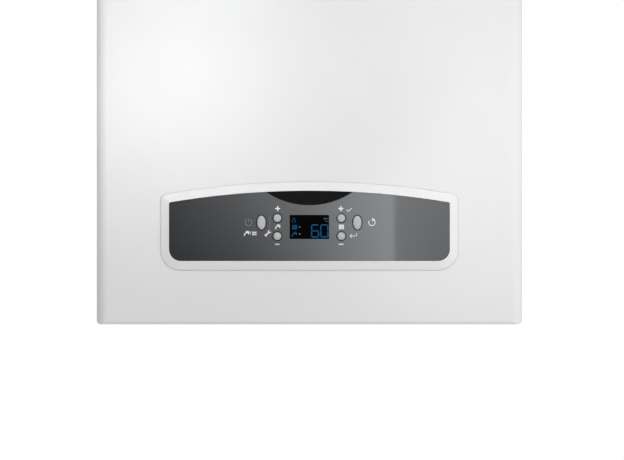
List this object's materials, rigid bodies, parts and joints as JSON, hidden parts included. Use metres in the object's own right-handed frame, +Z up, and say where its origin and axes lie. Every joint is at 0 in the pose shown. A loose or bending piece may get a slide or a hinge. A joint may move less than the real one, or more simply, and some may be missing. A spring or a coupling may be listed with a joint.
{
  "type": "wall-hung central heating boiler",
  "caption": "Wall-hung combination boiler in a white steel casing: lift-off front cover, tilting arched control panel with display and keys, coaxial flue on top and pipe tails below.",
  "frame": {"origin": "midway between the two wall-screw holes of the bracket, on the wall plane", "axes": "+X to the right seen from the front, +Y back into the wall, +Z up; the front faces -Y"},
  "size_m": [0.4, 0.3042, 0.745],
  "materials": {
    "white_enamel": "smooth gloss",
    "zinc_sheet": "galvanised, satin",
    "chamber_sheet": "aluminised, satin",
    "white_plastic": "satin gloss",
    "fascia_grey": "gloss",
    "key_grey": "satin",
    "display_window": "dark gloss",
    "dark_plastic": "fine texture",
    "circuit_board": "solder mask",
    "rubber_seal": "matte",
    "clear_glass": "clear",
    "ceramic_board": "fibrous, dry",
    "copper": "drawn, bright",
    "brass": "machined",
    "cast_body": "die cast",
    "pump_iron": "painted",
    "burner_steel": "stainless",
    "vessel_paint": "semi gloss",
    "red_plastic": "satin",
    "blue_plastic": "satin",
    "black_plastic": "satin",
    "flue_paint": "satin",
    "flue_metal": "drawn",
    "screw_steel": "zinc plated"
  },
  "bodies": {
    "casing": {"back_frame": "zinc_sheet", "wall_bracket": "zinc_sheet", "left_side_panel": "white_enamel", "right_side_panel": "white_enamel", "top_panel": "white_enamel", "bottom_plate": "zinc_sheet", "casing_screws": "screw_steel", "control_hinge_pins": "screw_steel", "control_brackets": "zinc_sheet", "sealed_chamber": "chamber_sheet", "chamber_door": "chamber_sheet", "door_gasket": "rubber_seal", "sight_glass": "clear_glass", "combustion_box": "burner_steel", "insulation_boards": "ceramic_board", "heat_exchanger": "copper", "flue_hood": "chamber_sheet", "fan_housing": "cast_body", "fan_motor": "black_plastic", "flue_collar": "flue_paint", "flue_spigot": "flue_metal", "air_pressure_switch": "blue_plastic", "burner_ramps": "burner_steel", "burner_manifold": "cast_body", "electrodes": "ceramic_board", "expansion_vessel": "vessel_paint", "pump_housing": "pump_iron", "pump_motor": "cast_body", "air_vent": "black_plastic", "flow_group": "brass", "return_group": "brass", "diverter_motor": "black_plastic", "plate_exchanger": "burner_steel", "gas_valve": "cast_body", "copper_pipes": "copper", "safety_valve": "brass", "gauge_case": "black_plastic", "connection_fittings": "brass", "cable_glands": "black_plastic"},
    "front_cover_body": {"front_cover": "white_enamel", "cover_fasteners": "screw_steel"},
    "control_panel": {"control_bezel": "white_plastic", "fascia_panel": "fascia_grey", "display_lens": "display_window", "display_board": "circuit_board", "control_box": "dark_plastic", "control_box_cover": "dark_plastic", "main_board": "circuit_board"},
    "power_button_body": {"power_button": "key_grey"},
    "reset_button_body": {"reset_button": "key_grey"},
    "hot_water_up_button_body": {"hot_water_up_button": "key_grey"},
    "hot_water_down_button_body": {"hot_water_down_button": "key_grey"},
    "heating_up_button_body": {"heating_up_button": "key_grey"},
    "heating_down_button_body": {"heating_down_button": "key_grey"},
    "fan_wheel": {"fan_impeller": "burner_steel"},
    "pump_wheel": {"pump_rotor": "black_plastic"},
    "diverter_stem": {"diverter_spindle": "screw_steel"},
    "relief_knob": {"safety_valve_knob": "red_plastic"},
    "filling_knob": {"filling_tap_knob": "blue_plastic"},
    "pressure_needle": {"gauge_needle": "red_plastic"}
  },
  "joints": [
    {"name": "front_cover_pull", "type": "slide", "parent": "casing", "child": "front_cover_body", "axis": [0, -1, 0], "range_m": [0, 0.4]},
    {"name": "control_panel_tilt", "type": "hinge", "parent": "casing", "child": "control_panel", "pos_m": [0, -0.285, -0.5982], "axis": [1, 0, 0], "range_deg": [0, 75]},
    {"name": "power_button_press", "type": "slide", "parent": "control_panel", "child": "power_button_body", "axis": [0, 1, 0], "range_m": [0, 0.0012], "stiffness_N_per_m": 1500},
    {"name": "reset_button_press", "type": "slide", "parent": "control_panel", "child": "reset_button_body", "axis": [0, 1, 0], "range_m": [0, 0.0012], "stiffness_N_per_m": 1500},
    {"name": "hot_water_up_button_press", "type": "slide", "parent": "control_panel", "child": "hot_water_up_button_body", "axis": [0, 1, 0], "range_m": [0, 0.0012], "stiffness_N_per_m": 1500},
    {"name": "hot_water_down_button_press", "type": "slide", "parent": "control_panel", "child": "hot_water_down_button_body", "axis": [0, 1, 0], "range_m": [0, 0.0012], "stiffness_N_per_m": 1500},
    {"name": "heating_up_button_press", "type": "slide", "parent": "control_panel", "child": "heating_up_button_body", "axis": [0, 1, 0], "range_m": [0, 0.0012], "stiffness_N_per_m": 1500},
    {"name": "heating_down_button_press", "type": "slide", "parent": "control_panel", "child": "heating_down_button_body", "axis": [0, 1, 0], "range_m": [0, 0.0012], "stiffness_N_per_m": 1500},
    {"name": "fan_spin", "type": "hinge", "parent": "casing", "child": "fan_wheel", "pos_m": [-0.03, -0.185, -0.011], "axis": [0, 1, 0], "continuous": true},
    {"name": "pump_spin", "type": "hinge", "parent": "casing", "child": "pump_wheel", "pos_m": [0.12, -0.14, -0.431], "axis": [0, 1, 0], "continuous": true},
    {"name": "diverter_stroke", "type": "slide", "parent": "casing", "child": "diverter_stem", "axis": [0, 0, 1], "range_m": [0, 0.008]},
    {"name": "safety_valve_turn", "type": "hinge", "parent": "casing", "child": "relief_knob", "pos_m": [0.168, -0.095, -0.538], "axis": [0, 0, 1], "range_deg": [0, 90]},
    {"name": "filling_tap_turn", "type": "hinge", "parent": "casing", "child": "filling_knob", "pos_m": [0.098, -0.15, -0.616], "axis": [0, 0, 1], "range_deg": [0, 180]},
    {"name": "gauge_needle_turn", "type": "hinge", "parent": "casing", "child": "pressure_needle", "pos_m": [-0.1, -0.18, -0.624], "axis": [0, 0, 1], "range_deg": [-80, 160]}
  ]
}
